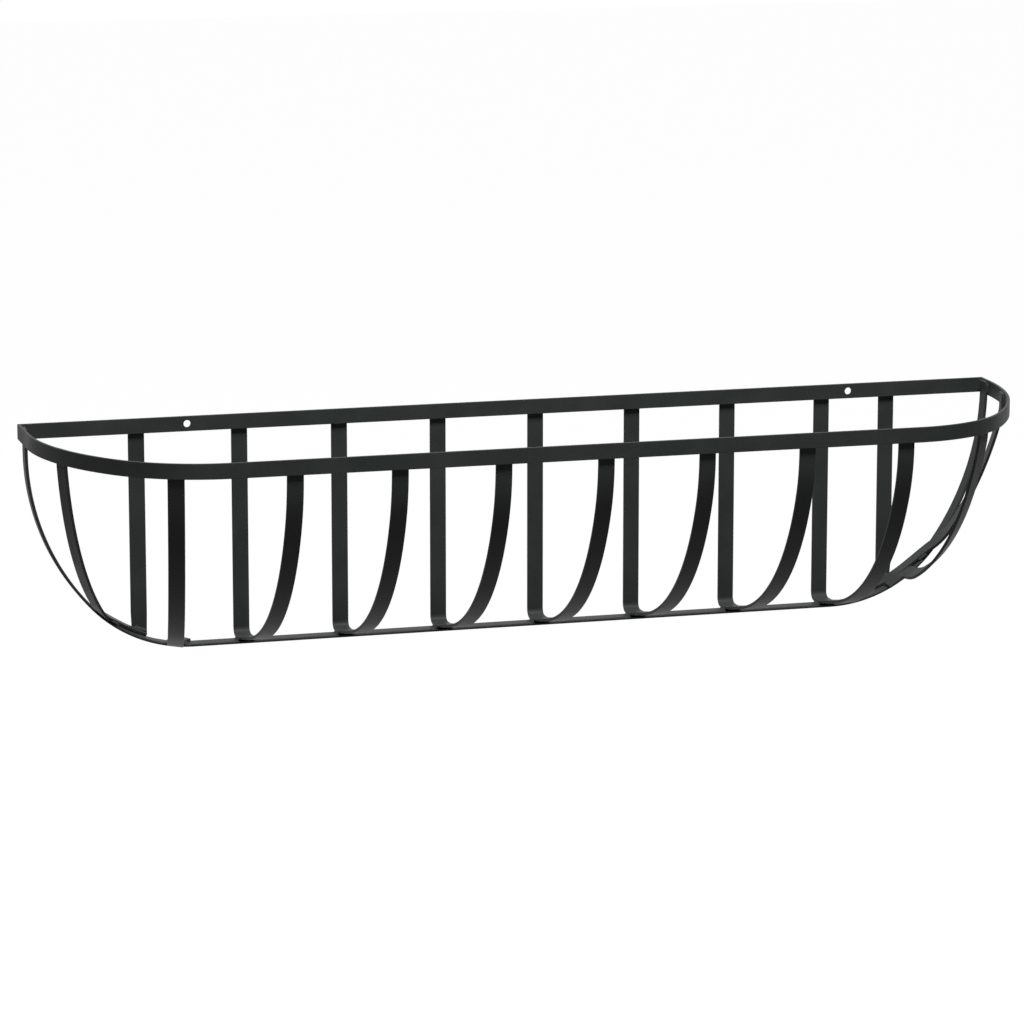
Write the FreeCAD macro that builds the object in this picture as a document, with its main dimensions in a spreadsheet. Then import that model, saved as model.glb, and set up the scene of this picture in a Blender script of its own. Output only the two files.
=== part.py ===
import FreeCAD, Part
import math
import os
import Sketcher
from FreeCAD import Placement, Rotation, Vector

# Wall-hung window box planter: a boat-shaped basket of welded flat steel bar.
#
# Frame: millimetres, +Z up, +X along the wall, the wall behind at +Y.
# The origin is midway between the two screw holes, on the back face of the rail.

# ---------------------------------------------------------------------------
# Driving dimensions (millimetres and degrees)
# ---------------------------------------------------------------------------
DIMENSIONS = {
    # flat bar stock
    "bar_thickness": 3.0,
    "rim_bar_height": 15.0,
    "rib_bar_width": 16.0,
    # back rail and its screw holes
    "rail_left_end": -510.5,
    "rail_right_end": 489.5,
    "screw_spacing": 686.0,
    "screw_hole_diameter": 7.2,
    # front hoop, seen from above: its reach, the radii of its ends as shares of
    # that reach, and the angle that the outer one of each end's two arcs turns
    "hoop_reach": 252.0,
    "hoop_left_side_share": 0.9206,
    "hoop_left_side_angle": 40.2,
    "hoop_left_corner_share": 0.5476,
    "hoop_right_side_share": 1.2063,
    "hoop_right_side_angle": 36.4,
    "hoop_right_corner_share": 0.5063,
    # keel bar, seen from the front, given in the same way by its drop
    "keel_drop": 219.4,
    "keel_setback": 17.2,
    "keel_left_side_share": 1.0529,
    "keel_left_side_angle": 42.9,
    "keel_left_corner_share": 0.6304,
    "keel_right_side_share": 1.2534,
    "keel_right_side_angle": 35.5,
    "keel_right_corner_share": 0.6518,
    # ribs: how far the first and the last one stand inside the stretch where
    # hoop and keel both run straight, and their shape seen from the side
    "rib_first_past_bend": 49.7,
    "rib_last_before_bend": 1.8,
    "rib_heel_radius": 9.0,
    "rib_sole_radius": 58.5,
    "rib_sole_angle": 12.2,
    "rib_belly_angle": 68.8,
    "rib_breast_radius": 144.0,
    "rib_flat_run": 5.5,
    # end uprights, by their distance from the rail's end
    "left_upright_from_end": 117.0,
    "right_upright_from_end": 104.3,
    # how far the tops of ribs, uprights and keel lie under the rim's top edge
    "bar_top_gap": 1.0,
    # end ribs: the angle that the hoop has turned from its end to the rib, the
    # foot's distance from the rail's end, and the lean inwards under the hoop
    "left_side_rib_hoop_angle": 21.1,
    "left_side_rib_from_end": 82.0,
    "left_side_rib_lean_angle": 12.1,
    "right_side_rib_hoop_angle": 12.9,
    "right_side_rib_from_end": 65.5,
    "right_side_rib_lean_angle": 14.9,
    "left_corner_rib_hoop_angle": 67.4,
    "left_corner_rib_from_end": 148.5,
    "left_corner_rib_lean_angle": 8.4,
    "right_corner_rib_hoop_angle": 50.5,
    "right_corner_rib_from_end": 87.5,
    "right_corner_rib_lean_angle": 21.0,
    "end_rib_knuckle_radius": 30.0,
    "end_rib_sole_radius": 88.0,
    "foot_length": 22.0,
    # weld beads
    "weld_leg": 2.2,
    "weld_inset": 1.0,
}
RIB_COUNT = 7

# spacing of the loft's sections along an end rib, and their number at a heel
LOFT_SPACING = 8.0
HEEL_STEPS = 8

doc = FreeCAD.newDocument("window_box_planter")
sheet = doc.addObject("Spreadsheet::Sheet", "dims")


def add_cell(row, alias, value):
    """A row of the sheet: the alias and its plain number."""
    sheet.set("A%d" % row, alias)
    sheet.set("B%d" % row, str(value))
    sheet.setAlias("B%d" % row, alias)


for row, (alias, value) in enumerate(DIMENSIONS.items(), start=1):
    add_cell(row, alias, value)
doc.recompute()

size = {alias: float(sheet.get(alias)) for alias in DIMENSIONS}
thick = size["bar_thickness"]
half_thick = thick / 2
wide = size["rib_bar_width"]
rim_half = size["rim_bar_height"] / 2
DOWN = Vector(0, 0, -1)
SIDES = {-1: "left", 1: "right"}
BEAD_CROWN = 0.82


# ---------------------------------------------------------------------------
# Sketch helpers
# ---------------------------------------------------------------------------
class BarPath:
    """Centre line of a bent bar: straight runs and tangent arcs in a plane."""

    def __init__(self, start, heading_degrees):
        self.point = Vector(start[0], start[1], 0)
        self.heading = math.radians(heading_degrees)
        self.segments = []

    def run(self, length, name):
        """Go straight on for a length."""
        begin = self.point
        step = Vector(math.cos(self.heading), math.sin(self.heading), 0)
        self.point = begin + step * length
        self.segments.append(("run", name, Part.LineSegment(begin, self.point), 1, 2))
        return self

    def bend(self, radius, turn_degrees, name):
        """Turn left (positive) or right (negative) on a radius."""
        turn = math.radians(turn_degrees)
        side = 1 if turn > 0 else -1
        outward = self.heading - side * math.pi / 2
        spoke = Vector(math.cos(outward), math.sin(outward), 0)
        centre = self.point - spoke * radius
        circle = Part.Circle(centre, Vector(0, 0, 1), radius)
        end_angle = outward + turn
        if side > 0:
            arc = Part.ArcOfCircle(circle, outward, end_angle)
            self.segments.append(("bend", name, arc, 1, 2))
        else:
            arc = Part.ArcOfCircle(circle, end_angle, outward)
            self.segments.append(("bend", name, arc, 2, 1))
        tip = Vector(math.cos(end_angle), math.sin(end_angle), 0)
        self.point = centre + tip * radius
        self.heading += turn
        return self


def origin_plane(body, role):
    """The body's own origin plane with this role."""
    for feature in body.Origin.OriginFeatures:
        if feature.Role == role:
            return feature
    raise ValueError(role)


def plane_sketch(body, name, role, offset=0.0):
    """A sketch on one of the body's origin planes, moved along its normal."""
    sketch = body.newObject("Sketcher::SketchObject", name)
    sketch.AttachmentSupport = [(origin_plane(body, role), "")]
    sketch.MapMode = "FlatFace"
    sketch.AttachmentOffset = Placement(Vector(0, 0, offset), Rotation())
    return sketch


def bind(sketch, index, expression):
    """Name a constraint's value by an expression in the sheet's cells."""
    sketch.setExpression("Constraints[%d]" % index, expression)


def add_dimension(sketch, kind, references, value, expression):
    """Add a dimension and bind it to the sheet."""
    index = sketch.addConstraint(Sketcher.Constraint(kind, *references, value))
    bind(sketch, index, expression)


def draw_path(sketch, path):
    """Draw a path with tangent joints, and return each segment's index by name."""
    where = {}
    before = None
    for _, name, geometry, first, last in path.segments:
        index = sketch.addGeometry(geometry, False)
        where[name] = (index, first, last)
        if before is not None:
            joint = Sketcher.Constraint("Tangent", before[0], before[2], index, first)
            sketch.addConstraint(joint)
        before = where[name]
    return where


def rectangle_sketch(sketch, centre, breadth, depth, names):
    """A rectangle about a centre: breadth along x, depth along y, both bound.

    names holds the expressions of centre x, centre y, breadth and depth.
    """
    left, right = centre[0] - breadth / 2, centre[0] + breadth / 2
    low, high = centre[1] - depth / 2, centre[1] + depth / 2
    corners = [Vector(left, low, 0), Vector(right, low, 0),
               Vector(right, high, 0), Vector(left, high, 0)]
    for index in range(4):
        side = Part.LineSegment(corners[index], corners[(index + 1) % 4])
        sketch.addGeometry(side, False)
    for index in range(4):
        joint = Sketcher.Constraint("Coincident", index, 2, (index + 1) % 4, 1)
        sketch.addConstraint(joint)
    for index, kind in enumerate(("Horizontal", "Vertical", "Horizontal", "Vertical")):
        sketch.addConstraint(Sketcher.Constraint(kind, index))
    centre_x, centre_y, breadth_name, depth_name = names
    add_dimension(sketch, "DistanceX", (0, 1, 0, 2), breadth, breadth_name)
    add_dimension(sketch, "DistanceY", (1, 1, 1, 2), depth, depth_name)
    add_dimension(sketch, "DistanceX", (-1, 1, 0, 1), left,
                  "(%s) - (%s) / 2" % (centre_x, breadth_name))
    add_dimension(sketch, "DistanceY", (-1, 1, 0, 1), low,
                  "(%s) - (%s) / 2" % (centre_y, depth_name))


def new_body(label):
    """An empty body with the piece's name."""
    body = doc.addObject("PartDesign::Body", label)
    body.Label = label
    return body


def sweep_bar(body, spine, section):
    """Sweep a bar's section along its centre line."""
    pipe = body.newObject("PartDesign::AdditivePipe", body.Name + "_bar")
    pipe.Profile = section
    pipe.Spine = (spine, [])
    pipe.Mode = "Standard"
    pipe.Transition = "Transformed"
    body.Tip = pipe
    return pipe


# ---------------------------------------------------------------------------
# Frames along a flat bar
# ---------------------------------------------------------------------------
class StripFrame:
    """A point on a flat bar's centre line, its direction and its face normal."""

    def __init__(self, point, tangent, normal):
        self.point = point
        self.tangent = tangent
        self.normal = normal

    def ahead(self, length):
        """The frame a straight length further on."""
        return StripFrame(self.point + self.tangent * length, self.tangent, self.normal)

    def placement(self):
        """Placement of the bar's section: x across the bar, y along its normal."""
        across = self.normal.cross(self.tangent)
        rows = []
        for axis in ("x", "y", "z"):
            rows += [getattr(vector, axis)
                     for vector in (across, self.normal, self.tangent, self.point)]
        return Placement(FreeCAD.Matrix(*rows, 0, 0, 0, 1))


# ---------------------------------------------------------------------------
# Weld beads, gathered into one group for each kind of joint
# ---------------------------------------------------------------------------
beads = {}


def add_bead(group, corner, along, length, first_leg, second_leg):
    """A weld bead along an inside corner, between two faces.

    corner is where the bead begins, and the legs point along the two faces.
    """
    leg = size["weld_leg"]
    one = corner + first_leg * leg
    two = corner + second_leg * leg
    crown = corner + (first_leg + second_leg).normalize() * (leg * BEAD_CROWN)
    edges = [Part.LineSegment(corner, one).toShape(),
             Part.Arc(one, crown, two).toShape(),
             Part.LineSegment(two, corner).toShape()]
    bead = Part.Face(Part.Wire(edges)).extrude(along * length)
    beads.setdefault(group, []).append(bead)


def add_edge_beads(group, frame, first, length, sides=tuple(SIDES)):
    """Beads along the edges of a bar that lies on another with its back.

    sides are -1 and 1, with 1 for the edge across tangent x normal.
    """
    across = frame.tangent.cross(frame.normal)
    for side in sides:
        corner = frame.point + frame.tangent * first
        corner += across * (side * wide / 2) - frame.normal * half_thick
        add_bead(group, corner, frame.tangent, length, across * side, frame.normal)


def open_edges(x, neighbour_x, right_edge):
    """Edges of a foot at x where a neighbour's foot leaves room for a bead.

    right_edge is the sign of the edge that faces +X.
    """
    room = abs(neighbour_x - x) - wide
    if room > 2 * size["weld_leg"]:
        return tuple(SIDES)
    return (-right_edge,) if neighbour_x > x else (right_edge,)


def make_weld_group(label):
    """All the beads of one kind of joint."""
    group = doc.addObject("Part::Feature", label)
    group.Label = label
    group.Shape = Part.makeCompound(beads[label])
    group.Placement = Placement()
    return group


# ---------------------------------------------------------------------------
# Back rail: a straight flat bar on edge with two screw holes
# ---------------------------------------------------------------------------
def make_back_rail():
    body = new_body("back_rail")
    outline = plane_sketch(body, "rail_outline", "XZ_Plane")
    length = size["rail_right_end"] - size["rail_left_end"]
    middle = (size["rail_right_end"] + size["rail_left_end"]) / 2
    rectangle_sketch(outline, (middle, 0), length, 2 * rim_half,
                     ("(dims.rail_right_end + dims.rail_left_end) / 2", "0",
                      "dims.rail_right_end - dims.rail_left_end", "dims.rim_bar_height"))
    for side in (-1, 1):
        centre = Vector(side * size["screw_spacing"] / 2, 0, 0)
        circle = Part.Circle(centre, Vector(0, 0, 1), size["screw_hole_diameter"] / 2)
        hole = outline.addGeometry(circle, False)
        add_dimension(outline, "Diameter", (hole,), size["screw_hole_diameter"],
                      "dims.screw_hole_diameter")
        add_dimension(outline, "DistanceX", (-1, 1, hole, 3), centre.x,
                      "%d * dims.screw_spacing / 2" % side)
        outline.addConstraint(Sketcher.Constraint("PointOnObject", hole, 3, -1))
    pad = body.newObject("PartDesign::Pad", "rail_bar")
    pad.Profile = outline
    pad.Length = thick
    pad.setExpression("Length", "dims.bar_thickness")
    body.Tip = pad
    return body


# ---------------------------------------------------------------------------
# Front hoop: the same bar on edge, bent to a D from corner to corner
# ---------------------------------------------------------------------------
EXTENT = {"hoop": "hoop_reach", "keel": "keel_drop"}


def from_end(side, name):
    """X of a place given by its distance from the rail's left or right end."""
    end_x = size["rail_left_end"] if side < 0 else size["rail_right_end"]
    return end_x - side * size[name]


def end_curve(bar, side, depth=0.0):
    """Side radius, corner radius, side turn, span and reach of a bar's end.

    bar is "hoop" or "keel". The radii are those of the line so deep under the
    bar's outer face. Span and reach cover the quarter turn that they make.
    """
    name = "%s_%s_" % (bar, SIDES[side])
    extent = size[EXTENT[bar]]
    side_radius = size[name + "side_share"] * extent - depth
    corner_radius = size[name + "corner_share"] * extent - depth
    turn = math.radians(size[name + "side_angle"])
    span = side_radius * (1 - math.cos(turn)) + corner_radius * math.cos(turn)
    reach = side_radius * math.sin(turn) + corner_radius * (1 - math.sin(turn))
    return side_radius, corner_radius, turn, span, reach


def bend_x(side):
    """X of the last rib that lies flat on the hoop, beads and all, at an end.

    Its middle lies on the straight run of the keel too.
    """
    _, _, _, hoop_span, _ = end_curve("hoop", side)
    _, _, _, keel_span, _ = end_curve("keel", side)
    end_x = size["rail_left_end"] if side < 0 else size["rail_right_end"]
    return end_x - side * max(hoop_span + wide / 2 + size["weld_leg"], keel_span + thick)


def bent_ends_path(bar, left, right, start, bottom):
    """Centre line down one side, round two arcs, along and up the other side."""
    side_radius, corner_radius, turn, left_span, reach = end_curve(bar, -1, half_thick)
    turn = math.degrees(turn)
    path = BarPath((left, start), -90)
    path.run(start - bottom - reach, "left side")
    path.bend(side_radius, turn, "left side arc")
    path.bend(corner_radius, 90 - turn, "left corner arc")
    side_radius, corner_radius, turn, right_span, reach = end_curve(bar, 1, half_thick)
    turn = math.degrees(turn)
    path.run(right - left - left_span - right_span, "long run")
    path.bend(corner_radius, 90 - turn, "right corner arc")
    path.bend(side_radius, turn, "right side arc")
    path.run(start - bottom - reach, "right side")
    return path


def constrain_bent_ends(sketch, where, bar, names):
    """Bind the bent bar's ends, its long run, its radii and its side turns.

    names holds the expressions of left, right, start and bottom.
    """
    left, right, start, bottom = names
    first, last, long_run = where["left side"], where["right side"], where["long run"]
    for straight in (first, last):
        sketch.addConstraint(Sketcher.Constraint("Vertical", straight[0]))
    sketch.addConstraint(Sketcher.Constraint("Horizontal", long_run[0]))
    begin = sketch.getPoint(first[0], first[1])
    end = sketch.getPoint(last[0], last[2])
    low = sketch.getPoint(long_run[0], long_run[1])
    add_dimension(sketch, "DistanceX", (-1, 1, first[0], first[1]), begin.x, left)
    add_dimension(sketch, "DistanceY", (-1, 1, first[0], first[1]), begin.y, start)
    add_dimension(sketch, "DistanceX", (-1, 1, last[0], last[2]), end.x, right)
    add_dimension(sketch, "DistanceY", (-1, 1, last[0], last[2]), end.y, start)
    add_dimension(sketch, "DistanceY", (-1, 1, long_run[0], long_run[1]), low.y, bottom)
    for side, hand in SIDES.items():
        side_radius, corner_radius, turn, _, _ = end_curve(bar, side, half_thick)
        name = "dims.%s_%s_" % (bar, hand)
        inner = "share * dims.%s - dims.bar_thickness / 2" % EXTENT[bar]
        add_dimension(sketch, "Radius", (where[hand + " side arc"][0],), side_radius,
                      name + "side_" + inner)
        add_dimension(sketch, "Radius", (where[hand + " corner arc"][0],), corner_radius,
                      name + "corner_" + inner)
        add_dimension(sketch, "Angle", (where[hand + " side arc"][0],), turn,
                      name + "side_angle * 1 deg")


def make_front_hoop():
    body = new_body("front_hoop")
    left = size["rail_left_end"] + half_thick
    right = size["rail_right_end"] - half_thick
    front = -size["hoop_reach"] + half_thick
    path = bent_ends_path("hoop", left, right, -thick, front)
    spine = plane_sketch(body, "hoop_line", "XY_Plane")
    where = draw_path(spine, path)
    constrain_bent_ends(spine, where, "hoop",
                        ("dims.rail_left_end + dims.bar_thickness / 2",
                         "dims.rail_right_end - dims.bar_thickness / 2",
                         "-dims.bar_thickness",
                         "dims.bar_thickness / 2 - dims.hoop_reach"))
    section = plane_sketch(body, "hoop_section", "XZ_Plane", thick)
    section.setExpression("AttachmentOffset.Base.z", "dims.bar_thickness")
    rectangle_sketch(section, (left, 0), thick, 2 * rim_half,
                     ("dims.rail_left_end + dims.bar_thickness / 2", "0",
                      "dims.bar_thickness", "dims.rim_bar_height"))
    sweep_bar(body, spine, section)
    inset = size["weld_inset"]
    for side in SIDES:
        end_x = left if side < 0 else right
        corner = Vector(end_x - side * half_thick, -thick, rim_half - inset)
        add_bead("rim_corner_welds", corner, DOWN, 2 * (rim_half - inset),
                 Vector(-side, 0, 0), Vector(0, -1, 0))
    return body


def hoop_station(side, turn_degrees):
    """Centre-line point of the hoop where it has turned so far from its end.

    side is -1 for the left end and 1 for the right. Returns the point, the
    inward normal and the inner face's radius.
    """
    end_x = size["rail_left_end"] if side < 0 else size["rail_right_end"]
    side_radius, corner_radius, side_turn, span, reach = end_curve("hoop", side)
    turn = math.radians(turn_degrees)
    if turn <= side_turn:
        centre_x = end_x - side * side_radius
        centre_y = reach - size["hoop_reach"]
        radius = side_radius
    else:
        centre_x = end_x - side * span
        centre_y = corner_radius - size["hoop_reach"]
        radius = corner_radius
    inward = Vector(-side * math.cos(turn), math.sin(turn), 0)
    point = Vector(centre_x, centre_y, 0) - inward * (radius - half_thick)
    return point, inward, radius - thick


# ---------------------------------------------------------------------------
# Keel: a flat bar under the basket, curving up to the hoop at both ends
# ---------------------------------------------------------------------------
def make_keel_strap():
    body = new_body("keel_strap")
    left = size["rail_left_end"] + thick + half_thick
    right = size["rail_right_end"] - thick - half_thick
    top = rim_half - size["bar_top_gap"]
    bottom = half_thick - size["keel_drop"]
    spine = plane_sketch(body, "keel_line", "XZ_Plane", size["keel_setback"])
    spine.setExpression("AttachmentOffset.Base.z", "dims.keel_setback")
    path = bent_ends_path("keel", left, right, top, bottom)
    where = draw_path(spine, path)
    constrain_bent_ends(spine, where, "keel",
                        ("dims.rail_left_end + dims.bar_thickness * 1.5",
                         "dims.rail_right_end - dims.bar_thickness * 1.5",
                         "dims.rim_bar_height / 2 - dims.bar_top_gap",
                         "dims.bar_thickness / 2 - dims.keel_drop"))
    section = plane_sketch(body, "keel_section", "XY_Plane", top)
    section.setExpression("AttachmentOffset.Base.z",
                          "dims.rim_bar_height / 2 - dims.bar_top_gap")
    rectangle_sketch(section, (left, -size["keel_setback"]), thick, wide,
                     ("dims.rail_left_end + dims.bar_thickness * 1.5",
                      "-dims.keel_setback", "dims.bar_thickness", "dims.rib_bar_width"))
    sweep_bar(body, spine, section)
    inset = size["weld_inset"]
    for side in SIDES:
        end = Vector(left if side < 0 else right, -size["keel_setback"], top)
        frame = StripFrame(end, DOWN, Vector(-side, 0, 0))
        add_edge_beads("keel_end_welds", frame, inset, top + rim_half - 2 * inset)
    return body


def keel_station(x):
    """Centre-line point of the keel at x, its upward normal and its slope.

    The slope is positive where the keel rises towards +X.
    """
    side = -1 if x < (size["rail_left_end"] + size["rail_right_end"]) / 2 else 1
    end_x = size["rail_left_end"] if side < 0 else size["rail_right_end"]
    end_x -= side * thick
    side_radius, corner_radius, side_turn, span, reach = end_curve("keel", side)
    corner_slope = math.pi / 2 - side_turn
    past = side * (x - (end_x - side * span))
    if past <= 0:
        slope = 0.0
        height = half_thick - size["keel_drop"]
        radius = 0.0
    elif past <= (corner_radius - half_thick) * math.sin(corner_slope):
        radius = corner_radius - half_thick
        slope = math.asin(past / radius)
        height = half_thick - size["keel_drop"] + radius * (1 - math.cos(slope))
    else:
        radius = side_radius - half_thick
        centre_past = span - side_radius
        slope = math.asin((past - centre_past) / radius)
        height = reach - size["keel_drop"] - radius * math.cos(slope)
    point = Vector(x, -size["keel_setback"], height)
    normal = Vector(-side * math.sin(slope), 0, math.cos(slope))
    return point, normal, side * slope, radius


def seat_gap(radius):
    """Rise of a flat bar's middle over a hollow curved face under its edges."""
    if radius <= 0:
        return 0.0
    return radius - math.sqrt(radius * radius - wide * wide / 4)


def keel_seat(x):
    """Centre at x of a bar that lies across the keel, its normal and its slope."""
    _, normal, _, radius = keel_station(x)
    lift = thick + seat_gap(radius - half_thick)
    point, normal, slope, _ = keel_station(x - normal.x * lift)
    return Vector(x, point.y, point.z + normal.z * lift), normal, slope


# ---------------------------------------------------------------------------
# Ribs: seven flat bars, each bent from the rail, under and up to the hoop
# ---------------------------------------------------------------------------
def belly_fit(depth, fall, end_slope):
    """Belly radius and sloping run that carry a rib from the hoop to its foot.

    The rib leaves the hoop straight down, turns on the breast radius and then
    on the belly radius to its sole slope, runs straight, and turns on the sole
    radius to the end slope. depth and fall are what this covers. Returns the
    belly radius, the run and the sole slope in radians.
    """
    breast = math.radians(90 - size["rib_belly_angle"])
    sole = max(math.radians(size["rib_sole_angle"]), end_slope)
    breast_radius = size["rib_breast_radius"] - half_thick
    sole_radius = size["rib_sole_radius"]
    depth -= breast_radius * (1 - math.cos(breast))
    depth -= sole_radius * (math.sin(sole) - math.sin(end_slope))
    fall -= breast_radius * math.sin(breast)
    fall -= sole_radius * (math.cos(end_slope) - math.cos(sole))
    belly_depth = math.cos(breast) - math.sin(sole)
    belly_fall = math.cos(sole) - math.sin(breast)
    scale = belly_depth * math.sin(sole) - belly_fall * math.cos(sole)
    belly_radius = (depth * math.sin(sole) - fall * math.cos(sole)) / scale
    run = (belly_depth * fall - belly_fall * depth) / scale
    return belly_radius, run, sole


def rib_path(start, stub, depth, fall, end_slope):
    """Centre line of a rib from its tip at the hoop down to its foot."""
    belly_radius, run, sole = belly_fit(depth, fall, end_slope)
    breast_turn = 90 - size["rib_belly_angle"]
    path = BarPath(start, -90)
    path.run(stub, "tip")
    path.bend(size["rib_breast_radius"] - half_thick, breast_turn, "breast")
    path.bend(belly_radius, 90 - breast_turn - math.degrees(sole), "belly")
    path.run(run, "slope")
    sole_turn = math.degrees(sole - end_slope)
    if sole_turn > 0:
        path.bend(size["rib_sole_radius"], sole_turn, "sole")
    return path


rib_first_x = bend_x(-1) + size["rib_first_past_bend"]
rib_last_x = bend_x(1) - size["rib_last_before_bend"]
rib_pitch = (rib_last_x - rib_first_x) / (RIB_COUNT - 1)
add_cell(len(DIMENSIONS) + 1, "rib_first_x", rib_first_x)
add_cell(len(DIMENSIONS) + 2, "rib_pitch", rib_pitch)
doc.recompute()


def make_rib(number):
    body = new_body("rib_%d" % number)
    front = thick + half_thick - size["hoop_reach"]
    tip = rim_half - size["bar_top_gap"]
    heel_radius = size["rib_heel_radius"] - half_thick
    bottom = thick + half_thick - size["keel_drop"]
    flat = size["rib_flat_run"]
    depth = half_thick - heel_radius - flat - front
    path = rib_path((front, tip), tip + rim_half, depth, -rim_half - bottom, 0.0)
    path.run(flat, "flat")
    path.bend(heel_radius, 90, "heel")
    top = rim_half - size["bar_top_gap"]
    path.run(top - bottom - heel_radius, "upright")
    spine = plane_sketch(body, "rib_line_%d" % number, "YZ_Plane")
    where = draw_path(spine, path)
    for name in ("tip", "upright"):
        spine.addConstraint(Sketcher.Constraint("Vertical", where[name][0]))
    spine.addConstraint(Sketcher.Constraint("Horizontal", where["flat"][0]))
    begin, end = where["tip"], where["upright"]
    add_dimension(spine, "DistanceX", (-1, 1, begin[0], begin[1]), front,
                  "dims.bar_thickness * 1.5 - dims.hoop_reach")
    add_dimension(spine, "DistanceY", (-1, 1, begin[0], begin[1]), tip,
                  "dims.rim_bar_height / 2 - dims.bar_top_gap")
    add_dimension(spine, "DistanceY", (-1, 1, begin[0], begin[2]), -rim_half,
                  "-dims.rim_bar_height / 2")
    add_dimension(spine, "DistanceX", (-1, 1, end[0], end[2]), half_thick,
                  "dims.bar_thickness / 2")
    add_dimension(spine, "DistanceY", (-1, 1, end[0], end[2]), top,
                  "dims.rim_bar_height / 2 - dims.bar_top_gap")
    add_dimension(spine, "Radius", (where["breast"][0],),
                  size["rib_breast_radius"] - half_thick,
                  "dims.rib_breast_radius - dims.bar_thickness / 2")
    add_dimension(spine, "Radius", (where["sole"][0],), size["rib_sole_radius"],
                  "dims.rib_sole_radius")
    add_dimension(spine, "Radius", (where["heel"][0],), heel_radius,
                  "dims.rib_heel_radius - dims.bar_thickness / 2")
    add_dimension(spine, "Angle", (where["breast"][0],),
                  math.radians(90 - size["rib_belly_angle"]),
                  "(90 - dims.rib_belly_angle) * 1 deg")
    add_dimension(spine, "Angle", (where["sole"][0],),
                  math.radians(size["rib_sole_angle"]), "dims.rib_sole_angle * 1 deg")
    add_dimension(spine, "DistanceX", (where["flat"][0], 1, where["flat"][0], 2), flat,
                  "dims.rib_flat_run")
    add_dimension(spine, "DistanceY", (-1, 1, where["flat"][0], 1), bottom,
                  "dims.bar_thickness * 1.5 - dims.keel_drop")
    section = plane_sketch(body, "rib_section_%d" % number, "XY_Plane", tip)
    section.setExpression("AttachmentOffset.Base.z",
                          "dims.rim_bar_height / 2 - dims.bar_top_gap")
    rectangle_sketch(section, (0, front), wide, thick,
                     ("0", "dims.bar_thickness * 1.5 - dims.hoop_reach",
                      "dims.rib_bar_width", "dims.bar_thickness"))
    sweep_bar(body, spine, section)
    body.setExpression("Placement.Base.x",
                       "dims.rib_first_x + %d * dims.rib_pitch" % (number - 1))
    x = rib_first_x + (number - 1) * rib_pitch
    inset = size["weld_inset"]
    at_hoop = StripFrame(Vector(x, front, tip), DOWN, Vector(0, 1, 0))
    add_edge_beads("rib_hoop_welds", at_hoop, inset, tip + rim_half - 2 * inset)
    keel_back = wide / 2 - size["keel_setback"]
    at_keel = StripFrame(Vector(x, keel_back, bottom), Vector(0, -1, 0), -DOWN)
    add_edge_beads("rib_keel_welds", at_keel, inset, wide - 2 * inset)
    at_rail = StripFrame(Vector(x, half_thick, top), DOWN, Vector(0, 1, 0))
    add_edge_beads("rib_rail_welds", at_rail, inset, top + rim_half - 2 * inset)
    return body


# ---------------------------------------------------------------------------
# End ribs: bent in an upright plane that runs from the hoop to the keel, and
# rolled about their length, flat on the hoop's inside and flat on the keel
# ---------------------------------------------------------------------------
def bend_reach(start, finish, radius):
    """Depth and fall of a bend between two slopes in radians."""
    depth = radius * (math.sin(start) - math.sin(finish))
    fall = radius * (math.cos(finish) - math.cos(start))
    return Vector(depth, fall, 0)


def end_rib_path(stub, depth, fall, lean, end_slope):
    """Centre line of an end rib in its upright plane, from tip to foot.

    Under the hoop the rib leans inwards on the knuckle radius. A long bend
    brings it down, and the sole radius lays it on the keel. The long bend's
    radius and end follow from the depth and fall that it has to cover.
    """
    knuckle = size["end_rib_knuckle_radius"]
    sole = size["end_rib_sole_radius"]
    start = math.pi / 2 - lean
    rest = Vector(depth, fall, 0)
    rest -= bend_reach(math.pi / 2, start, knuckle)
    rest -= bend_reach(start, end_slope, sole)
    finish = 2 * math.atan2(rest.y, rest.x) - start
    radius = sole + rest.x / (math.sin(start) - math.sin(finish))
    path = BarPath((0, rim_half - size["bar_top_gap"]), -90)
    path.run(stub, "tip")
    path.bend(knuckle, math.degrees(lean), "knuckle")
    path.bend(radius, math.degrees(start - finish), "belly")
    path.bend(sole, math.degrees(finish - end_slope), "sole")
    return path


def path_stations(path, spacing):
    """Points and headings along a path, with the share of its length run."""
    lengths = [segment[2].length() for segment in path.segments]
    total = sum(lengths)
    stations = []
    done = 0.0
    for segment, length in zip(path.segments, lengths):
        _, _, curve, first, _ = segment
        begin, end = curve.FirstParameter, curve.LastParameter
        if first == 2:
            begin, end = end, begin
        count = max(1, round(length / spacing))
        for number in range(count):
            parameter = begin + (end - begin) * number / count
            tangent = curve.tangent(parameter)[0] * (1 if first == 1 else -1)
            stations.append((curve.value(parameter), tangent,
                             (done + length * number / count) / total))
        done += length
    last = Vector(math.cos(path.heading), math.sin(path.heading), 0)
    stations.append((path.point, last, 1.0))
    return stations


def ease(share):
    """Smooth step from 0 to 1."""
    return share * share * (3 - 2 * share)


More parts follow.
